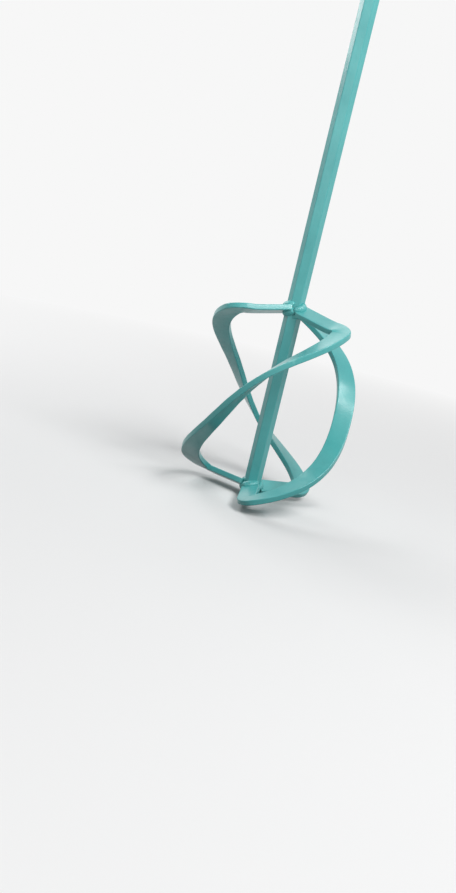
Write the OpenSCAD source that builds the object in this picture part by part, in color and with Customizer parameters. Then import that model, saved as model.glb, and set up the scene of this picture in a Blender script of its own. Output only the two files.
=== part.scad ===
/* [Overall] */
// Length from the foot of the shaft to the tip of the drive thread
overall_l = 590; // [450:5:750]

/* [Shaft] */
// Width across the flats of the hexagonal bar
shaft_af = 13; // [11:0.5:16]
// Length of bar that stands out below the lower arms' centre lines
foot_stub = 9; // [8:0.5:20]

/* [Mixing cage] */
// Outside diameter of the cage at its widest, halfway up
cage_d = 140; // [110:1:180]
// Height between the outer ends of the upper and lower arms, centre line to centre line
cage_h = 152; // [120:1:220]
// How much nearer the shaft each blade runs at its upper end than halfway up
barrel_top = 9; // [0:0.5:12]
// How much nearer the shaft each blade runs at its lower end than halfway up
barrel_foot = 9; // [0:0.5:12]
// How late a blade curls in towards its ends: 2 is an even barrel, 6 curls only near the corners
curl = 4; // [2:0.5:6]
// Angle that each blade turns round the shaft from its upper arm to its lower arm
twist = 180; // [120:60:240]
// How much faster a blade turns at its ends than halfway up, as a share
quicken = 0.46; // [0:0.02:0.5]
// Slope of the upper arms, down from the shaft to the corners
arm_droop = 10; // [0:0.5:12]

/* [Blade bar] */
// Width of the flat bar
bar_w = 16; // [12:0.5:19]
// Thickness of the flat bar
bar_t = 5; // [3:0.5:6]
// Eased edge along the bar's four corners
bar_edge = 0.8; // [0.3:0.1:1.2]
// Inside radius of the bend where an arm turns into the blade
bend_in_r = 3; // [1:0.5:6]

/* [Welds] */
// Radius of the weld beads at the arms' roots
bead_r = 3.4; // [2.5:0.1:4]
// Length of those beads between the centres of their round ends
bead_l = 9; // [6:0.5:12]
// Height of the ring of weld under the drive fitting
ring_weld_h = 3.2; // [2:0.2:5]

/* [Drive fitting] */
// Major diameter of the male drive thread
thread_d = 14; // [10:1:16]
// Length of the thread above its seat
thread_l = 24; // [18:1:32]
// Chamfer at the thread's tip
thread_chamfer = 1.5; // [0.5:0.5:2]
// Width across the flats of the spanner collar
collar_af = 22; // [20:1:30]
// Height of the spanner collar
collar_h = 10; // [8:1:14]
// Diameter of the sleeve that takes the top of the shaft
sleeve_d = 20; // [19:0.5:24]
// Length of that sleeve below the collar
sleeve_l = 18; // [12:1:30]
// Clearance on each side between the shaft and the sleeve's hexagonal socket
socket_gap = 0.1; // [0.05:0.05:0.3]

/* [Hidden] */

coat = [0.35, 0.74, 0.73];
zinc = [0.72, 0.73, 0.74];
blades = 3;
blade_step = 360 / blades;
socket_depth = sleeve_l + 2;
collar_ease = 1;
// How far shapes of one piece run into each other so that they join as one solid
lap = 1;

// The origin is the centre of the thread's seat, on top of the collar; everything else hangs below it.
foot_z = thread_l - overall_l;
lower_arm_z = foot_z + foot_stub;
upper_arm_z = lower_arm_z + cage_h;
cage_mid_z = (upper_arm_z + lower_arm_z) / 2;
collar_bottom_z = -collar_h;
sleeve_bottom_z = collar_bottom_z - sleeve_l;
shaft_top_z = sleeve_bottom_z + socket_depth;

// The blade's centre line: out along the upper arm, round a bend, down the ribbon, and back.
mid_r = cage_d / 2 - bar_w / 2;
bend_r = bend_in_r + bar_w / 2;
arm_root_r = shaft_af / 2;
arm_steps = 6;
bend_steps = 9;
ribbon_steps = 44;

// Share of the whole turn made at height share u, from -0.5 at the lower arms to 0.5 at the upper.
function turn_share(u) = (1 - quicken) * u + 4 * quicken * pow(u, 3);
function turn_rate(u) = (1 - quicken) + 12 * quicken * u * u;
// Azimuth of the blade's centre line there; the upper arm points along azimuth 0.
function azimuth(u) = twist * (turn_share(u) - 0.5);
// Slope of the bar there, from the horizontal: the bar lies flat on this slope.
function slope(u) = atan2(cage_h, mid_r * twist * PI / 180 * turn_rate(u));
end_slope = slope(0.5);
bend_drop = bend_r * sin(end_slope);

// At its ends the ribbon leans in by this angle, within the bar's own plane, and the bend turns less.
function end_lean(barrel) = atan(curl * barrel * sin(end_slope) / (cage_h / 2 - bend_drop));
upper_lean = end_lean(barrel_top);
lower_lean = end_lean(barrel_foot);
upper_bend_r = mid_r - barrel_top - bend_r * cos(upper_lean);
lower_bend_r = mid_r - barrel_foot - bend_r * cos(lower_lean);
upper_half_h = cage_h / 2 - (1 - sin(upper_lean)) * bend_drop;
lower_half_h = cage_h / 2 - (1 - sin(lower_lean)) * bend_drop;

// The upper arm rises from its outer end to the shaft, eased out of the bend over a short length.
arm_ease = 5;
arm_l = upper_bend_r - arm_root_r;
function arm_rise(r) = tan(arm_droop) * (norm([upper_bend_r - r, arm_ease]) - arm_ease);
// Radii of the arm's stations, closer together near the bend.
function arm_r(i) = upper_bend_r - arm_l * pow(1 - i / arm_steps, 2);
// Slope of the arm's faces at the root, and their tilt within the bar's own plane there.
root_slope = (arm_rise(arm_r(0)) - arm_rise(arm_r(1))) / (arm_r(1) - arm_r(0));
root_dip = atan(root_slope * cos(end_slope));

// A station is [radius, height from mid-cage, height share, bend angle].
function upper_arm(r) = [r, cage_h / 2 + arm_rise(r), 0.5, 0];
function upper_bend(a) =
    let (drop = (1 - cos(a)) * bend_drop)
    [upper_bend_r + bend_r * sin(a), cage_h / 2 - drop, 0.5 - drop / cage_h, a];
function ribbon(s) =
    let (
        inset = (s > 0 ? barrel_top : barrel_foot) * pow(abs(s), curl),
        lean = (s > 0 ? upper_lean : -lower_lean) * pow(abs(s), curl - 1),
        height = s * (s > 0 ? upper_half_h : lower_half_h)
    )
    [mid_r - inset, height, height / cage_h, 90 - lean];
function lower_bend(a) =
    let (drop = (1 + cos(a)) * bend_drop)
    [lower_bend_r + bend_r * sin(a), drop - cage_h / 2, drop / cage_h - 0.5, a];
function lower_arm(r) = [r, -cage_h / 2, -0.5, 180];

stations = [
    for (i = [0 : arm_steps - 1]) upper_arm(arm_r(i)),
    for (i = [0 : bend_steps - 1]) upper_bend((90 - upper_lean) * i / bend_steps),
    for (i = [0 : ribbon_steps]) ribbon(1 - 2 * i / ribbon_steps),
    for (i = [1 : bend_steps]) lower_bend(90 + lower_lean + (90 - lower_lean) * i / bend_steps),
    lower_arm(arm_root_r)
];

// The bar's section at a station: a rectangle with eased edges, as eight points.
function section(st) =
    let (
        az = azimuth(st[2]),
        rise = slope(st[2]),
        outward = [cos(az), sin(az), 0],
        climb = [-sin(az) * cos(rise), cos(az) * cos(rise), sin(rise)],
        face = cross(climb, outward),
        wide = outward * sin(st[3]) + climb * cos(st[3]),
        centre = outward * st[0] + [0, 0, st[1]],
        half_t = bar_t / 2,
        half_w = bar_w / 2,
        corners = [
            [half_w, bar_edge - half_t], [half_w, half_t - bar_edge],
            [half_w - bar_edge, half_t], [bar_edge - half_w, half_t],
            [-half_w, half_t - bar_edge], [-half_w, bar_edge - half_t],
            [bar_edge - half_w, -half_t], [half_w - bar_edge, -half_t]
        ]
    )
    [for (c = corners) centre + wide * c[0] + face * c[1]];

module blade_bar() {
    sides = 8;
    rings = len(stations);
    points = [for (st = stations) each section(st)];
    skin = [
        for (i = [0 : rings - 2]) for (j = [0 : sides - 1])
            let (k = (j + 1) % sides, a = i * sides, b = a + sides)
            each [[a + j, b + j, b + k], [a + j, b + k, a + k]]
    ];
    first_end = [for (j = [0 : sides - 1]) j];
    last_end = [for (j = [sides - 1 : -1 : 0]) (rings - 1) * sides + j];
    translate([0, 0, cage_mid_z]) polyhedron(points, concat(skin, [first_end, last_end]), 4);
}

module blade(number) {
    color(coat) rotate([0, 0, number * blade_step]) blade_bar();
}

// A hexagonal prism with two flats square to X, so that arms at every 60 degrees meet a flat.
module hexagon(af, h) {
    rotate([0, 0, 30]) cylinder(h = h, d = af / cos(30), $fn = 6);
}

module shaft_bar() {
    translate([0, 0, foot_z]) hexagon(shaft_af, shaft_top_z - foot_z);
}

module hex_shaft() {
    color(coat) shaft_bar();
}

module drive_spigot() {
    color(zinc) difference() {
        union() {
            translate([0, 0, -lap]) cylinder(h = thread_l - thread_chamfer + lap, d = thread_d, $fn = 96);
            translate([0, 0, thread_l - thread_chamfer])
                cylinder(h = thread_chamfer, d1 = thread_d, d2 = thread_d - 2 * thread_chamfer, $fn = 96);
            spanner_collar();
            translate([0, 0, sleeve_bottom_z]) cylinder(h = sleeve_l + lap, d = sleeve_d, $fn = 96);
        }
        translate([0, 0, sleeve_bottom_z - lap])
            hexagon(shaft_af + 2 * socket_gap, socket_depth + lap);
    }
}

// The spanner collar's six corners are turned back by a cone at each end.
module spanner_collar() {
    corner_d = collar_af / cos(30);
    intersection() {
        translate([0, 0, collar_bottom_z]) hexagon(collar_af, collar_h);
        rotate_extrude($fn = 96) polygon([
            [0, collar_bottom_z],
            [collar_af / 2, collar_bottom_z],
            [corner_d / 2, collar_bottom_z + collar_ease],
            [corner_d / 2, -collar_ease],
            [collar_af / 2, 0],
            [0, 0]
        ]);
    }
}

// The ring of weld that closes the sleeve onto the shaft.
module spigot_weld() {
    shaft_corner_r = shaft_af / cos(30) / 2;
    root_r = sleeve_d / 2 - 0.4;
    toe_r = shaft_corner_r + 0.5;
    belly_r = (root_r + toe_r) / 2 + 0.3;
    color(coat) difference() {
        translate([0, 0, sleeve_bottom_z]) rotate_extrude($fn = 96) polygon([
            [0, 0], [root_r, 0], [belly_r, -ring_weld_h / 2], [toe_r, -ring_weld_h], [0, -ring_weld_h]
        ]);
        shaft_bar();
    }
}

// Stands its children at an arm's root: X out along the arm, Y across the bar, Z square to its face.
module at_root(number, top) {
    az = number * blade_step - (top ? 0 : twist);
    height = top ? upper_arm_z + arm_rise(arm_root_r) : lower_arm_z;
    rotate([0, 0, az]) translate([arm_root_r, 0, height])
        rotate([end_slope, 0, 0]) rotate([0, top ? root_dip : 0, 0]) children();
}

// One fillet bead, over or under an arm, cut to sit on the shaft's flats and the bar's face.
module root_weld(number, top, over) {
    side = over ? 1 : -1;
    sink = bead_r / 4;
    slab = 4 * bead_l;
    color(coat) difference() {
        at_root(number, top) translate([sink, 0, side * (bar_t / 2 + sink)]) {
            rotate([90, 0, 0]) cylinder(h = bead_l, r = bead_r, center = true, $fn = 48);
            for (end = [-1, 1]) translate([0, end * bead_l / 2, 0]) sphere(r = bead_r, $fn = 48);
        }
        shaft_bar();
        at_root(number, top) cube([slab, slab, bar_t * cos(top ? root_dip : 0)], center = true);
    }
}

hex_shaft();
drive_spigot();
spigot_weld();
blade(0);  // blade_a
blade(1);  // blade_b
blade(2);  // blade_c
root_weld(0, true, true);  // weld_top_a_over
root_weld(0, true, false);  // weld_top_a_under
root_weld(1, true, true);  // weld_top_b_over
root_weld(1, true, false);  // weld_top_b_under
root_weld(2, true, true);  // weld_top_c_over
root_weld(2, true, false);  // weld_top_c_under
root_weld(0, false, true);  // weld_foot_a_over
root_weld(0, false, false);  // weld_foot_a_under
root_weld(1, false, true);  // weld_foot_b_over
root_weld(1, false, false);  // weld_foot_b_under
root_weld(2, false, true);  // weld_foot_c_over
root_weld(2, false, false);  // weld_foot_c_under
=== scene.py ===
"""Looks for the mortar mixing paddle: a hexagonal shaft, a cage of three helical flat-bar blades and
their weld beads in one glossy coat, and a zinc-plated threaded drive end. Lengths named _MM are
millimetres and follow the design's own values; meshes are built in them and finished in metres."""

import math

import bmesh
import bpy
from mathutils import Matrix, Vector


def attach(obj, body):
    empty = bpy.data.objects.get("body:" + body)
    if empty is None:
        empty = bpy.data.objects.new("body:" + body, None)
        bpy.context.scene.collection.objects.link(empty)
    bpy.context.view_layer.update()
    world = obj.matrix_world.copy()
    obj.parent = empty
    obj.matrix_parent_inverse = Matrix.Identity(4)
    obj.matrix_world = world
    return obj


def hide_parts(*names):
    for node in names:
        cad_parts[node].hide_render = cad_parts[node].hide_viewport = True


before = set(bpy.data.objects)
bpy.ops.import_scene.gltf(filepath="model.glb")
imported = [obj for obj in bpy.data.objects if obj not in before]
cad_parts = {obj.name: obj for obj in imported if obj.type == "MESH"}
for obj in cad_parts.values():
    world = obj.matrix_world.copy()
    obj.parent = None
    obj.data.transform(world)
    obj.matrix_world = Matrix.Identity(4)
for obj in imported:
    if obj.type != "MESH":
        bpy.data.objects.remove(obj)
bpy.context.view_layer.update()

MM = 0.001
BODY = "root"
LETTERS = "abc"

# ---------------------------------------------------------------- the design's dimensions

OVERALL_L_MM = 590
SHAFT_AF_MM = 13
FOOT_STUB_MM = 9

CAGE_D_MM = 140
CAGE_H_MM = 152
BARREL_TOP_MM = 9
BARREL_FOOT_MM = 9
CURL = 4
TWIST_DEG = 180
QUICKEN = 0.46
ARM_DROOP_DEG = 10
ARM_EASE_MM = 5
BLADES = 3

BAR_W_MM = 16
BAR_T_MM = 5
BEND_IN_R_MM = 3

BEAD_R_MM = 3.4
BEAD_L_MM = 9
RING_WELD_H_MM = 3.2

THREAD_D_MM = 14
THREAD_L_MM = 24
THREAD_PITCH_MM = 2
THREAD_CHAMFER_MM = 1.5
COLLAR_AF_MM = 22
COLLAR_H_MM = 10
SLEEVE_D_MM = 20
SLEEVE_L_MM = 18

FOOT_Z_MM = THREAD_L_MM - OVERALL_L_MM
LOWER_ARM_Z_MM = FOOT_Z_MM + FOOT_STUB_MM
UPPER_ARM_Z_MM = LOWER_ARM_Z_MM + CAGE_H_MM
CAGE_MID_Z_MM = (LOWER_ARM_Z_MM + UPPER_ARM_Z_MM) / 2
SLEEVE_BOTTOM_Z_MM = -COLLAR_H_MM - SLEEVE_L_MM


# ---------------------------------------------------------------- mesh helpers

def direction(angle):
    """The horizontal unit vector at an angle in radians round Z; 0 is +X."""
    return Vector((math.cos(angle), math.sin(angle), 0))


def finish_piece(name, bm, material, replaced, smooth_deg=40):
    """Turns a bmesh in millimetres into a finished piece that stands for a CAD node."""
    bmesh.ops.recalc_face_normals(bm, faces=bm.faces)
    mesh = bpy.data.meshes.new(name)
    bm.to_mesh(mesh)
    bm.free()
    mesh.transform(Matrix.Scale(MM, 4))
    for polygon in mesh.polygons:
        polygon.use_smooth = True
    mesh.set_sharp_from_angle(angle=math.radians(smooth_deg))
    piece = bpy.data.objects.new(name, mesh)
    bpy.context.scene.collection.objects.link(piece)
    mesh.materials.append(material)
    evened = piece.modifiers.new("even_normals", "WEIGHTED_NORMAL")
    evened.keep_sharp = True
    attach(piece, BODY)
    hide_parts(replaced)


def skin_rings(bm, rings):
    """Joins closed rings of points, each with the same count, into a skin with flat end caps."""
    rows = [[bm.verts.new(point) for point in ring] for ring in rings]
    for low, high in zip(rows, rows[1:]):
        for i in range(len(low)):
            j = (i + 1) % len(low)
            bm.faces.new((low[i], low[j], high[j], high[i]))
    bm.faces.new(rows[0])
    bm.faces.new(rows[-1])


def wobble(*phases):
    """A smooth, repeatable unevenness between about -1 and 1."""
    total = 0.0
    for i, phase in enumerate(phases):
        total += math.sin(phase * (1.7 + 0.6 * i) + 1.3 * i)
    return total / len(phases)


# ---------------------------------------------------------------- material helpers

def new_material(name):
    """A node material, with its node tree and its shader."""
    material = bpy.data.materials.new(name)
    material.use_nodes = True
    tree = material.node_tree
    return material, tree, tree.nodes["Principled BSDF"]


def object_place(tree):
    """The object's own coordinates, in metres."""
    return tree.nodes.new("ShaderNodeTexCoord").outputs["Object"]


def noise(tree, place, scale, detail, roughness=0.5):
    """Noise over the object, scale in features per metre."""
    node = tree.nodes.new("ShaderNodeTexNoise")
    node.inputs["Scale"].default_value = scale
    node.inputs["Detail"].default_value = detail
    node.inputs["Roughness"].default_value = roughness
    tree.links.new(place, node.inputs["Vector"])
    return node.outputs["Fac"]


def spread(tree, value, low, high, out_low=0.0, out_high=1.0):
    """Maps a value's range low..high to out_low..out_high, clamped."""
    node = tree.nodes.new("ShaderNodeMapRange")
    node.inputs["From Min"].default_value = low
    node.inputs["From Max"].default_value = high
    node.inputs["To Min"].default_value = out_low
    node.inputs["To Max"].default_value = out_high
    tree.links.new(value, node.inputs["Value"])
    return node.outputs["Result"]


def colour_sockets(sockets, name):
    """Those of a mix node's sockets that carry a colour and have the given name."""
    return [socket for socket in sockets if socket.name == name and socket.type == "RGBA"]


def blend_colours(tree, factor, first, second):
    """Mixes two colours, each a socket or a plain colour, by a factor socket."""
    node = tree.nodes.new("ShaderNodeMix")
    node.data_type = "RGBA"
    tree.links.new(factor, node.inputs["Factor"])
    for name, colour in (("A", first), ("B", second)):
        socket = colour_sockets(node.inputs, name)[0]
        if isinstance(colour, tuple):
            socket.default_value = colour
        else:
            tree.links.new(colour, socket)
    return colour_sockets(node.outputs, "Result")[0]


def bump(tree, height, distance, strength):
    """A bump that rises by the given distance in metres where the height socket is 1."""
    node = tree.nodes.new("ShaderNodeBump")
    node.inputs["Distance"].default_value = distance
    node.inputs["Strength"].default_value = strength
    tree.links.new(height, node.inputs["Height"])
    return node.outputs["Normal"]


def mix_shaders(tree, factor, first, second):
    """Mixes two shaders by a factor socket."""
    node = tree.nodes.new("ShaderNodeMixShader")
    tree.links.new(factor, node.inputs[0])
    tree.links.new(first, node.inputs[1])
    tree.links.new(second, node.inputs[2])
    return node.outputs[0]


def srgb(red, green, blue):
    """An opaque colour from 8-bit sRGB values."""
    def linear(value):
        share = value / 255
        return share / 12.92 if share <= 0.04045 else ((share + 0.055) / 1.055) ** 2.4
    return (linear(red), linear(green), linear(blue), 1.0)


# ---------------------------------------------------------------- materials

def powder_coat():
    """Glossy turquoise powder coat: orange peel, a faint mottle, and paler sharp edges, partly thinner
    coat and partly a painted highlight.
    """
    material, tree, shader = new_material("turquoise_powder_coat")
    place = object_place(tree)
    broad = noise(tree, place, scale=22, detail=3)
    cloud = noise(tree, place, scale=160, detail=4)
    peel = noise(tree, place, scale=480, detail=3, roughness=0.4)
    edge = tree.nodes.new("ShaderNodeNewGeometry").outputs["Pointiness"]

    mottle = spread(tree, broad, 0.35, 0.65)
    shade = spread(tree, cloud, 0.5, 0.8, 0.0, 0.3)
    # Paler on sharp convex edges: partly thinner coat, partly a painted highlight where the edges
    # catch the light.
    edge_highlight_and_thin_coat = spread(tree, edge, 0.53, 0.62, 0.0, 0.5)
    tone = blend_colours(tree, mottle, srgb(70, 166, 166), srgb(80, 177, 176))
    tone = blend_colours(tree, shade, tone, srgb(64, 156, 157))
    tone = blend_colours(tree, edge_highlight_and_thin_coat, tone, srgb(132, 208, 203))
    tree.links.new(tone, shader.inputs["Base Color"])

    roughness = spread(tree, cloud, 0.3, 0.7, 0.3, 0.38)
    tree.links.new(roughness, shader.inputs["Roughness"])
    shader.inputs["Specular IOR Level"].default_value = 0.45
    shader.inputs["Coat Weight"].default_value = 0.35
    shader.inputs["Coat Roughness"].default_value = 0.16
    relief = bump(tree, peel, distance=0.0003, strength=0.22)
    tree.links.new(relief, shader.inputs["Normal"])
    return material


def zinc_steel():
    """Turned, zinc-plated steel: fine tool rings, warm dull patches and small dark specks."""
    material, tree, shader = new_material("zinc_plated_steel")
    place = object_place(tree)
    stretch = tree.nodes.new("ShaderNodeMapping")
    stretch.inputs["Scale"].default_value = (1.0, 1.0, 60.0)
    tree.links.new(place, stretch.inputs["Vector"])
    rings = noise(tree, stretch.outputs["Vector"], scale=90, detail=4, roughness=0.7)
    patches = noise(tree, place, scale=240, detail=4)
    specks = noise(tree, place, scale=1500, detail=2)

    warm = spread(tree, patches, 0.35, 0.7)
    dark = spread(tree, specks, 0.62, 0.75, 0.0, 0.5)
    tone = blend_colours(tree, warm, srgb(176, 179, 182), srgb(160, 153, 134))
    tone = blend_colours(tree, dark, tone, srgb(104, 102, 97))
    tree.links.new(tone, shader.inputs["Base Color"])

    shader.inputs["Metallic"].default_value = 1.0
    roughness = spread(tree, patches, 0.3, 0.7, 0.26, 0.44)
    tree.links.new(roughness, shader.inputs["Roughness"])
    relief = bump(tree, rings, distance=0.00008, strength=0.5)
    tree.links.new(relief, shader.inputs["Normal"])
    return material


COAT = powder_coat()
ZINC = zinc_steel()


# ---------------------------------------------------------------- the hexagonal shaft

def shaft_ring(z, inset):
    """The shaft's outline at a height: a hexagon with round corners, drawn in by the inset."""
    corner_r = 0.9
    arc_steps = 4
    half_af = SHAFT_AF_MM / 2 - inset
    centre_r = (half_af - corner_r) / math.cos(math.radians(30))
    ring = []
    for corner in range(6):
        middle_deg = 30 + 60 * corner
        centre = direction(math.radians(middle_deg)) * centre_r
        for step in range(arc_steps + 1):
            angle = math.radians(middle_deg - 30 + 60 * step / arc_steps)
            ring.append(centre + direction(angle) * corner_r + Vector((0, 0, z)))
    return ring


def make_shaft():
    """Rolled hexagonal bar, sawn and eased at the foot; its top is hidden in the sleeve."""
    ease = 0.9
    half_eased = 0.35 * ease
    body_steps = 24
    body_z = FOOT_Z_MM + ease
    body_l = SLEEVE_BOTTOM_Z_MM + SLEEVE_L_MM - body_z
    rings = [shaft_ring(FOOT_Z_MM, ease), shaft_ring(FOOT_Z_MM + half_eased, half_eased)]
    for i in range(body_steps + 1):
        rings.append(shaft_ring(body_z + body_l * i / body_steps, 0))
    bm = bmesh.new()
    skin_rings(bm, rings)
    finish_piece("shaft_bar", bm, COAT, "hex_shaft")


# ---------------------------------------------------------------- the blades' path

MID_R_MM = CAGE_D_MM / 2 - BAR_W_MM / 2
BEND_R_MM = BEND_IN_R_MM + BAR_W_MM / 2
ARM_ROOT_R_MM = SHAFT_AF_MM / 2
QUARTER_TURN = math.pi / 2
ARM_STEPS = 12
BEND_STEPS = 20
RIBBON_STEPS = 120


def azimuth(u):
    """Azimuth of a blade at height share u, from -0.5 at the lower arms to 0.5 at the upper."""
    share = (1 - QUICKEN) * u + 4 * QUICKEN * u ** 3
    return math.radians(TWIST_DEG) * (share - 0.5)


def slope(u):
    """Slope of the bar there, from the horizontal."""
    rate = (1 - QUICKEN) + 12 * QUICKEN * u * u
    return math.atan2(CAGE_H_MM, MID_R_MM * math.radians(TWIST_DEG) * rate)


END_SLOPE = slope(0.5)
BEND_DROP_MM = BEND_R_MM * math.sin(END_SLOPE)


def end_lean(barrel):
    """How far the ribbon leans in at its end, within the bar's own plane."""
    return math.atan(CURL * barrel * math.sin(END_SLOPE) / (CAGE_H_MM / 2 - BEND_DROP_MM))


UPPER_LEAN = end_lean(BARREL_TOP_MM)
LOWER_LEAN = end_lean(BARREL_FOOT_MM)
UPPER_BEND_R_MM = MID_R_MM - BARREL_TOP_MM - BEND_R_MM * math.cos(UPPER_LEAN)
LOWER_BEND_R_MM = MID_R_MM - BARREL_FOOT_MM - BEND_R_MM * math.cos(LOWER_LEAN)
UPPER_HALF_H_MM = CAGE_H_MM / 2 - (1 - math.sin(UPPER_LEAN)) * BEND_DROP_MM
LOWER_HALF_H_MM = CAGE_H_MM / 2 - (1 - math.sin(LOWER_LEAN)) * BEND_DROP_MM


def arm_rise(r):
    """Height of an upper arm above its outer end, eased out of the bend into its slope."""
    along = math.hypot(UPPER_BEND_R_MM - r, ARM_EASE_MM) - ARM_EASE_MM
    return math.tan(math.radians(ARM_DROOP_DEG)) * along


# Each station is (radius, height from mid-cage, height share, bend angle, share of the bend's upset
# metal). The arms' and bends' stations take how much of the arm or bend is done, from 0 to 1.


def upper_arm(done):
    """From the shaft to the bend, in steps that shorten towards the bend."""
    r = UPPER_BEND_R_MM - (UPPER_BEND_R_MM - ARM_ROOT_R_MM) * (1 - done) ** 2
    return (r, CAGE_H_MM / 2 + arm_rise(r), 0.5, 0.0, 0.0)


def upper_bend(done):
    """From the upper arm to the ribbon."""
    angle = (QUARTER_TURN - UPPER_LEAN) * done
    drop = (1 - math.cos(angle)) * BEND_DROP_MM
    r = UPPER_BEND_R_MM + BEND_R_MM * math.sin(angle)
    return (r, CAGE_H_MM / 2 - drop, 0.5 - drop / CAGE_H_MM, angle, math.sin(math.pi * done))


def ribbon(s):
    """Down the ribbon, s from 1 at its upper end to -1 at its lower end."""
    if s > 0:
        barrel, lean, half_h = BARREL_TOP_MM, UPPER_LEAN, UPPER_HALF_H_MM
    else:
        barrel, lean, half_h = BARREL_FOOT_MM, -LOWER_LEAN, LOWER_HALF_H_MM
    r = MID_R_MM - barrel * abs(s) ** CURL
    height = s * half_h
    angle = QUARTER_TURN - lean * abs(s) ** (CURL - 1)
    return (r, height, height / CAGE_H_MM, angle, 0.0)


def lower_bend(done):
    """From the ribbon to the lower arm."""
    angle = QUARTER_TURN + LOWER_LEAN + (QUARTER_TURN - LOWER_LEAN) * done
    drop = (1 + math.cos(angle)) * BEND_DROP_MM
    r = LOWER_BEND_R_MM + BEND_R_MM * math.sin(angle)
    return (r, drop - CAGE_H_MM / 2, drop / CAGE_H_MM - 0.5, angle, math.sin(math.pi * done))


def lower_arm(done):
    """From the bend to the shaft."""
    r = LOWER_BEND_R_MM + (ARM_ROOT_R_MM - LOWER_BEND_R_MM) * done
    return (r, -CAGE_H_MM / 2, -0.5, math.pi, 0.0)


def blade_stations():
    """The whole bar, from root to root."""
    stations = [upper_arm(i / ARM_STEPS) for i in range(ARM_STEPS)]
    stations += [upper_bend(i / BEND_STEPS) for i in range(BEND_STEPS)]
    stations += [ribbon(1 - 2 * i / RIBBON_STEPS) for i in range(RIBBON_STEPS + 1)]
    stations += [lower_bend(i / BEND_STEPS) for i in range(1, BEND_STEPS + 1)]
    stations += [lower_arm(i / ARM_STEPS) for i in range(1, ARM_STEPS + 1)]
    return stations


# ---------------------------------------------------------------- the blades

def quarter_arc(x, y, r, start_deg):
    """Points of a quarter circle round (x, y)."""
    arc_steps = 4
    angles = [math.radians(start_deg + 90 * step / arc_steps) for step in range(arc_steps + 1)]
    return [(x + r * math.cos(angle), y + r * math.sin(angle)) for angle in angles]


def between(first, last, steps):
    """The points that divide a straight line into equal steps, without its ends."""
    (x, y), (last_x, last_y) = first, last
    shares = [step / steps for step in range(1, steps)]
    return [(x + (last_x - x) * share, y + (last_y - y) * share) for share in shares]


def bar_outline(upset):
    """The bar's section as (across, through) points: rounded edges, and at a bend the inside is
    a little thicker and the outside a little thinner than the flat bar."""
    edge_r = 0.85
    trim = 0.06  # the section is drawn this much smaller than the bar on every side
    across_steps = 5
    thick_in = BAR_T_MM / 2 - trim + 0.35 * upset
    thick_out = BAR_T_MM / 2 - trim - 0.25 * upset
    centre_x = BAR_W_MM / 2 - trim - edge_r
    outer_top = quarter_arc(centre_x, thick_out - edge_r, edge_r, 0)
    inner_top = quarter_arc(-centre_x, thick_in - edge_r, edge_r, 90)
    inner_low = quarter_arc(-centre_x, edge_r - thick_in, edge_r, 180)
    outer_low = quarter_arc(centre_x, edge_r - thick_out, edge_r, 270)
    top_face = between(outer_top[-1], inner_top[0], across_steps)
    low_face = between(inner_low[-1], outer_low[0], across_steps)
    return outer_top + top_face + inner_top + inner_low + low_face + outer_low


def make_blade(number):
    """One flat bar: upper arm, bend, helical ribbon, bend, lower arm. It is slightly uneven along
    its length, and true at its roots."""
    unevenness = 0.12
    turn = math.radians(360 / BLADES * number)
    stations = blade_stations()
    rings = []
    for i, (r, height, u, bend, upset) in enumerate(stations):
        az, rise = azimuth(u) + turn, slope(u)
        outward = direction(az)
        climb = Vector((-math.sin(az) * math.cos(rise), math.cos(az) * math.cos(rise), math.sin(rise)))
        face = climb.cross(outward)
        wide = outward * math.sin(bend) + climb * math.cos(bend)
        centre = outward * r + Vector((0, 0, CAGE_MID_Z_MM + height))
        fade = math.sin(math.pi * i / (len(stations) - 1))
        sway = unevenness * fade * wobble(i * 0.11 + number, i * 0.23 + 2 * number)
        rings.append([centre + wide * x + face * (y + sway) for x, y in bar_outline(upset)])
    bm = bmesh.new()
    skin_rings(bm, rings)
    letter = LETTERS[number]
    finish_piece("blade_bar_" + letter, bm, COAT, "blade_" + letter)


# ---------------------------------------------------------------- the weld beads

BEAD_SINK_MM = 0.5
BEAD_HALF_L_MM = BEAD_L_MM / 2 + BEAD_R_MM - 0.3
BEAD_ALONG_STEPS = 104
BEAD_ROUND_STEPS = 24
# How strongly a bead's ends bend in towards the shaft.
BEAD_HUG = 0.045
RIPPLE_PITCH_MM = 1.55
RIPPLE_DEPTH_MM = 0.42


def root_frame(number, top):
    """An arm's root: X out along the arm, Y across the bar, Z square to its face, in millimetres."""
    az = math.radians(360 / BLADES * number - (0 if top else TWIST_DEG))
    height = UPPER_ARM_Z_MM + arm_rise(ARM_ROOT_R_MM) if top else LOWER_ARM_Z_MM
    root_slope = arm_rise(ARM_ROOT_R_MM) - arm_rise(ARM_ROOT_R_MM + 1)
    dip = math.atan(root_slope * math.cos(END_SLOPE)) if top else 0.0
    return (Matrix.Rotation(az, 4, "Z") @ Matrix.Translation((ARM_ROOT_R_MM, 0, height))
            @ Matrix.Rotation(END_SLOPE, 4, "X") @ Matrix.Rotation(dip, 4, "Y"))


def bead_ring(y, taper, ridge, seed):
    """One ring of a root bead, at y along it. The ridge is the angle that the bead's crest faces."""
    full_r = (BEAD_R_MM + 0.1 + 0.12 * wobble(y * 0.6 + seed)) * taper
    x = BEAD_SINK_MM - BEAD_HUG * y * y
    ring = []
    for j in range(BEAD_ROUND_STEPS):
        angle = 2 * math.pi * j / BEAD_ROUND_STEPS
        flattened = 1 - 0.12 * max(math.cos(2 * (angle - ridge)), 0)
        lag = 1.0 - math.cos(angle - ridge)
        phase = math.pi * (y + lag + 0.25 * wobble(y * 1.3 + seed)) / RIPPLE_PITCH_MM
        groove = (1 - abs(math.sin(phase))) ** 2
        r = full_r * flattened - RIPPLE_DEPTH_MM * groove * taper
        ring.append(Vector((x + r * math.cos(angle), y, r * math.sin(angle))))
    return ring


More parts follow.
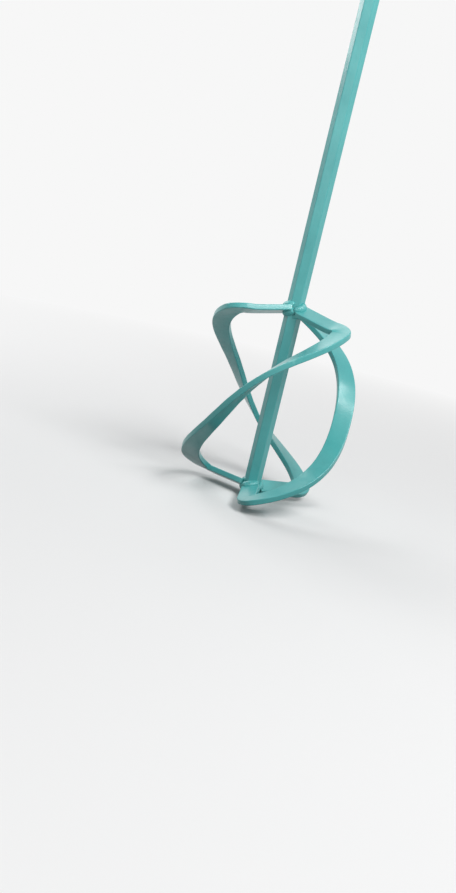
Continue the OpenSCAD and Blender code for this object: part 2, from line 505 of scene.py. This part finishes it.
def make_root_weld(number, top, over):
    """A hand-laid fillet bead along an arm's root. It hugs the shaft and thins out at its ends,
    and each ripple overlaps the one before it."""
    side = 1 if over else -1
    seed = 3.1 * number + (1.7 if top else 0.4) + (0.9 if over else 0.0)
    lift = side * (BAR_T_MM / 2 + BEAD_SINK_MM)
    place = root_frame(number, top) @ Matrix.Translation((0, 0, lift))
    rings = []
    for i in range(1, BEAD_ALONG_STEPS):
        share = -math.cos(math.pi * i / BEAD_ALONG_STEPS)
        taper = math.sqrt(max(1 - abs(share) ** 3.2, 0))
        ring = bead_ring(BEAD_HALF_L_MM * share, taper, side * math.pi / 4, seed)
        rings.append([place @ point for point in ring])
    bm = bmesh.new()
    skin_rings(bm, rings)
    level = "top" if top else "foot"
    facing = "over" if over else "under"
    root = "{}_{}_{}".format(level, LETTERS[number], facing)
    finish_piece("bead_" + root, bm, COAT, "weld_" + root, smooth_deg=70)


def make_ring_weld():
    """The ring of weld under the drive fitting's sleeve."""
    around_steps, section_steps = 150, 14
    ripples = 38
    centre_r, half_w, half_h = 7.6, 1.95, RING_WELD_H_MM - 0.1
    bm = bmesh.new()
    rings = []
    for i in range(around_steps):
        az = 2 * math.pi * i / around_steps
        ring = []
        for j in range(section_steps):
            angle = 2 * math.pi * j / section_steps
            swell = 0.93 + 0.07 * abs(math.cos(ripples / 2 * az + 0.5 * math.sin(angle)))
            r = centre_r + half_w * math.cos(angle) * swell
            z = SLEEVE_BOTTOM_Z_MM + half_h * math.sin(angle) * swell
            ring.append(bm.verts.new((r * math.cos(az), r * math.sin(az), z)))
        rings.append(ring)
    for i in range(around_steps):
        here, after = rings[i], rings[(i + 1) % around_steps]
        for j in range(section_steps):
            k = (j + 1) % section_steps
            bm.faces.new((here[j], here[k], after[k], after[j]))
    finish_piece("bead_ring", bm, COAT, "spigot_weld", smooth_deg=70)


# ---------------------------------------------------------------- the thread

THREAD_COLUMNS = 72
# One pitch of the thread, root then crest, as (columns' worth of the pitch, share of the depth).
THREAD_PROFILE = [
    (0, 1.0), (9, 1.0), (18, 1.0), (25, 0.667), (33, 0.333),
    (40, 0.0), (45, 0.0), (50, 0.0), (57, 0.333), (65, 0.667)]
ISO_DEPTH_SHARE = 0.6134
# The thread's lower end is cut off this far below the seat, inside the collar.
THREAD_SUNK_MM = 0.5


def thread_radius(z, share):
    """Radius at height z and a share of the full depth: it runs out at the seat and is chamfered
    at the tip."""
    runout_l = 1.5 * THREAD_PITCH_MM
    fade = min(max((z - 0.3) / runout_l, 0.0), 1.0)
    r = THREAD_D_MM / 2 - ISO_DEPTH_SHARE * THREAD_PITCH_MM * share * fade
    chamfered = THREAD_D_MM / 2 - THREAD_CHAMFER_MM + max(THREAD_L_MM - z, -0.5)
    return min(r, chamfered)


def thread_rows(bm):
    """One row of points per point of the profile and turn; each climbs one pitch round the axis."""
    rows = []
    for turn in range(-3, THREAD_L_MM // THREAD_PITCH_MM + 2):
        for part, share in THREAD_PROFILE:
            row = []
            for i in range(THREAD_COLUMNS):
                # Half a column keeps every point clear of the two planes that cut the thread.
                z = THREAD_PITCH_MM * (turn + (part + i + 0.5) / THREAD_COLUMNS)
                r = thread_radius(z, share)
                az = 2 * math.pi * i / THREAD_COLUMNS
                row.append(bm.verts.new((r * math.cos(az), r * math.sin(az), z)))
            rows.append(row)
    return rows


def skin_thread(bm, rows):
    """Joins the rows. A row's last column meets the first column of the row one turn above."""
    step = len(THREAD_PROFILE)
    for m in range(len(rows) - 1):
        low, high = rows[m], rows[m + 1]
        for i in range(THREAD_COLUMNS - 1):
            bm.faces.new((low[i], low[i + 1], high[i + 1], high[i]))
        if m + step + 1 < len(rows):
            next_low, next_high = rows[m + step], rows[m + step + 1]
            bm.faces.new((low[-1], next_low[0], next_high[0], high[-1]))


def cut_thread(bm, height, outward):
    """Cuts the thread flat at a height, clears what lies beyond and closes the cut."""
    bmesh.ops.bisect_plane(
        bm, geom=bm.verts[:] + bm.edges[:] + bm.faces[:], plane_co=(0, 0, height),
        plane_no=(0, 0, outward), clear_outer=True)
    tolerance = 1e-4
    on_cut = {v for v in bm.verts if abs(v.co.z - height) < tolerance}
    rim = [e for e in bm.edges if e.is_boundary and all(v in on_cut for v in e.verts)]
    bmesh.ops.contextual_create(bm, geom=rim)


def add_thread(bm):
    """A male ISO thread that winds up from the seat."""
    skin_thread(bm, thread_rows(bm))
    cut_thread(bm, -THREAD_SUNK_MM, -1)
    cut_thread(bm, THREAD_L_MM, 1)
    loose = [v for v in bm.verts if not v.link_faces]
    bmesh.ops.delete(bm, geom=loose, context="VERTS")


# ---------------------------------------------------------------- the collar and the sleeve

TURNED_COLUMNS = 144
COLLAR_HALF_AF_MM = COLLAR_AF_MM / 2
COLLAR_CORNER_R_MM = COLLAR_HALF_AF_MM / math.cos(math.radians(30))


def round_ring(r, z):
    """A circle of points."""
    angles = [2 * math.pi * i / TURNED_COLUMNS for i in range(TURNED_COLUMNS)]
    return [(r * math.cos(az), r * math.sin(az), z) for az in angles]


def collar_ring(z, limit):
    """The collar's hexagon with its corners broken, turned back to the limit."""
    broken = 0.25
    ring = []
    for i in range(TURNED_COLUMNS):
        az = 2 * math.pi * i / TURNED_COLUMNS
        off = (az + math.radians(30)) % math.radians(60) - math.radians(30)
        r = min(COLLAR_HALF_AF_MM / math.cos(off), COLLAR_CORNER_R_MM - broken, limit)
        ring.append((r * math.cos(az), r * math.sin(az), z))
    return ring


def sleeve_rings(fillet):
    """The sleeve from its eased mouth up to the fillet under the collar."""
    ease = 0.5
    body_steps = 5
    sleeve_r = SLEEVE_D_MM / 2
    body_z = SLEEVE_BOTTOM_Z_MM + ease
    body_l = SLEEVE_L_MM - ease - fillet
    rings = [round_ring(sleeve_r - ease, SLEEVE_BOTTOM_Z_MM), round_ring(sleeve_r, body_z)]
    for i in range(1, body_steps + 1):
        rings.append(round_ring(sleeve_r, body_z + body_l * i / body_steps))
    rings.append(round_ring(sleeve_r + fillet * 0.3, -COLLAR_H_MM - fillet * 0.3))
    rings.append(round_ring(sleeve_r + fillet, -COLLAR_H_MM))
    return rings


def collar_rings():
    """The spanner collar, its corners turned back by a cone at each end, and its seat."""
    chamfer = 1.0
    cone_steps = 7
    body_steps = 5
    body_l = COLLAR_H_MM - 2 * chamfer
    reach = COLLAR_CORNER_R_MM - COLLAR_HALF_AF_MM
    rings = []
    for i in range(cone_steps + 1):
        done = i / cone_steps
        rings.append(collar_ring(-COLLAR_H_MM + chamfer * done, COLLAR_HALF_AF_MM + reach * done))
    for i in range(1, body_steps):
        rings.append(collar_ring(-COLLAR_H_MM + chamfer + body_l * i / body_steps, COLLAR_CORNER_R_MM))
    for i in range(cone_steps + 1):
        done = i / cone_steps
        rings.append(collar_ring(-chamfer * (1 - done), COLLAR_CORNER_R_MM - reach * done))
    rings.append(round_ring(COLLAR_HALF_AF_MM - 0.9, 0))
    return rings


def make_drive_end():
    """Threaded spigot, spanner collar and the sleeve that takes the shaft."""
    bm = bmesh.new()
    add_thread(bm)
    skin_rings(bm, sleeve_rings(fillet=0.6) + collar_rings())
    finish_piece("drive_end", bm, ZINC, "drive_spigot", smooth_deg=32)


make_shaft()
for blade_number in range(BLADES):
    make_blade(blade_number)
for blade_number in range(BLADES):
    for at_top in (True, False):
        for over_arm in (True, False):
            make_root_weld(blade_number, at_top, over_arm)
make_ring_weld()
make_drive_end()


# ---------------------------------------------------------------- floor and background

BACKDROP = (0.93, 0.93, 0.93, 1.0)


def seen_ray(tree):
    """1 for a ray that shows the background: from the camera, in a gloss or through glass."""
    path = tree.nodes.new("ShaderNodeLightPath")
    seen = path.outputs["Is Camera Ray"]
    for name in ("Is Glossy Ray", "Is Transmission Ray"):
        either = tree.nodes.new("ShaderNodeMath")
        either.operation = "MAXIMUM"
        tree.links.new(seen, either.inputs[0])
        tree.links.new(path.outputs[name], either.inputs[1])
        seen = either.outputs[0]
    return seen


def floor_material():
    """Plain matt floor that bounces little light and fades to the background's own white."""
    material, tree, shader = new_material("pale_floor")
    shader.inputs["Base Color"].default_value = (0.8, 0.8, 0.8, 1.0)
    shader.inputs["Roughness"].default_value = 0.9
    shader.inputs["Specular IOR Level"].default_value = 0.1
    grain = noise(tree, object_place(tree), scale=300, detail=2)
    relief = bump(tree, grain, distance=0.0002, strength=0.1)
    tree.links.new(relief, shader.inputs["Normal"])

    dim = tree.nodes.new("ShaderNodeBsdfDiffuse")
    dim.inputs["Color"].default_value = (0.1, 0.1, 0.1, 1.0)
    ground = mix_shaders(tree, seen_ray(tree), dim.outputs[0], shader.outputs[0])

    sky = tree.nodes.new("ShaderNodeEmission")
    sky.inputs["Color"].default_value = BACKDROP
    distance = tree.nodes.new("ShaderNodeVectorMath")
    distance.operation = "LENGTH"
    tree.links.new(object_place(tree), distance.inputs[0])
    far = spread(tree, distance.outputs["Value"], 0.2, 1.0)
    faded = mix_shaders(tree, far, ground, sky.outputs[0])
    tree.links.new(faded, tree.nodes["Material Output"].inputs["Surface"])
    return material


def pale_floor():
    """A plain pale disc just under the foot."""
    floor_r = 6.0
    clearance = 0.0005
    mesh = bpy.data.meshes.new("floor")
    bm = bmesh.new()
    bmesh.ops.create_circle(bm, cap_ends=True, segments=96, radius=floor_r)
    bm.to_mesh(mesh)
    bm.free()
    mesh.materials.append(floor_material())
    floor = bpy.data.objects.new("floor", mesh)
    floor.location = (0, 0, FOOT_Z_MM * MM - clearance)
    bpy.context.scene.collection.objects.link(floor)


def pale_world():
    """White all round for the camera and for reflections, and a dimmer fill on the paint."""
    world = bpy.data.worlds.new("studio")
    bpy.context.scene.world = world
    world.use_nodes = True
    tree = world.node_tree
    fill = tree.nodes["Background"]
    fill.inputs["Color"].default_value = (0.95, 0.98, 1.0, 1.0)
    fill.inputs["Strength"].default_value = 0.2
    seen = tree.nodes.new("ShaderNodeBackground")
    seen.inputs["Color"].default_value = BACKDROP
    mixed = mix_shaders(tree, seen_ray(tree), fill.outputs[0], seen.outputs[0])
    tree.links.new(mixed, tree.nodes["World Output"].inputs["Surface"])


# ---------------------------------------------------------------- lights and camera

# The camera stands in front and to the right of the frame's -Y side, a little above the cage.
VIEW_AZIMUTH_DEG = 33.82
VIEW_ELEVATION_DEG = 13.41
VIEW_ROLL_DEG = 13.28
VIEW_DISTANCE = 0.84
VIEW_AIM = Vector((-0.0074, -0.0390, -0.5206))
LENS_MM = 40.3
SENSOR_MM = 36


def towards(azimuth_deg, elevation_deg):
    """Unit vector from the part to a light or the camera; azimuth 0 stands in front, on -Y."""
    az, el = math.radians(azimuth_deg), math.radians(elevation_deg)
    return Vector((math.sin(az) * math.cos(el), -math.cos(az) * math.cos(el), math.sin(el)))


def area_light(name, round_deg, elevation_deg, distance, size, power):
    """A square soft light aimed at the cage, turned round_deg round the part from the camera."""
    light = bpy.data.lights.new(name, "AREA")
    light.size = size
    light.energy = power
    lamp = bpy.data.objects.new(name, light)
    back = towards(VIEW_AZIMUTH_DEG + round_deg, elevation_deg)
    lamp.location = Vector((0, 0, CAGE_MID_Z_MM * MM)) + back * distance
    lamp.rotation_mode = "QUATERNION"
    lamp.rotation_quaternion = (-back).to_track_quat("-Z", "Y")
    bpy.context.scene.collection.objects.link(lamp)


def make_camera():
    """The camera is rolled, so that the shaft stands tilted to the right."""
    data = bpy.data.cameras.new("camera")
    data.lens = LENS_MM
    data.sensor_width = SENSOR_MM
    camera = bpy.data.objects.new("camera", data)
    bpy.context.scene.collection.objects.link(camera)
    back = towards(VIEW_AZIMUTH_DEG, VIEW_ELEVATION_DEG)
    upright = (-back).to_track_quat("-Z", "Y").to_matrix().to_4x4()
    roll = Matrix.Rotation(math.radians(VIEW_ROLL_DEG), 4, "Z")
    camera.matrix_world = Matrix.Translation(VIEW_AIM + back * VIEW_DISTANCE) @ upright @ roll
    bpy.context.scene.camera = camera


pale_floor()
pale_world()
area_light("key", round_deg=45, elevation_deg=50, distance=1.4, size=0.65, power=14)
area_light("fill", round_deg=0, elevation_deg=22, distance=1.6, size=0.9, power=4.5)
area_light("side", round_deg=-128, elevation_deg=38, distance=1.2, size=0.7, power=6)
area_light("back", round_deg=190, elevation_deg=35, distance=1.5, size=0.8, power=2.5)
make_camera()
bpy.context.scene.view_settings.view_transform = "Standard"
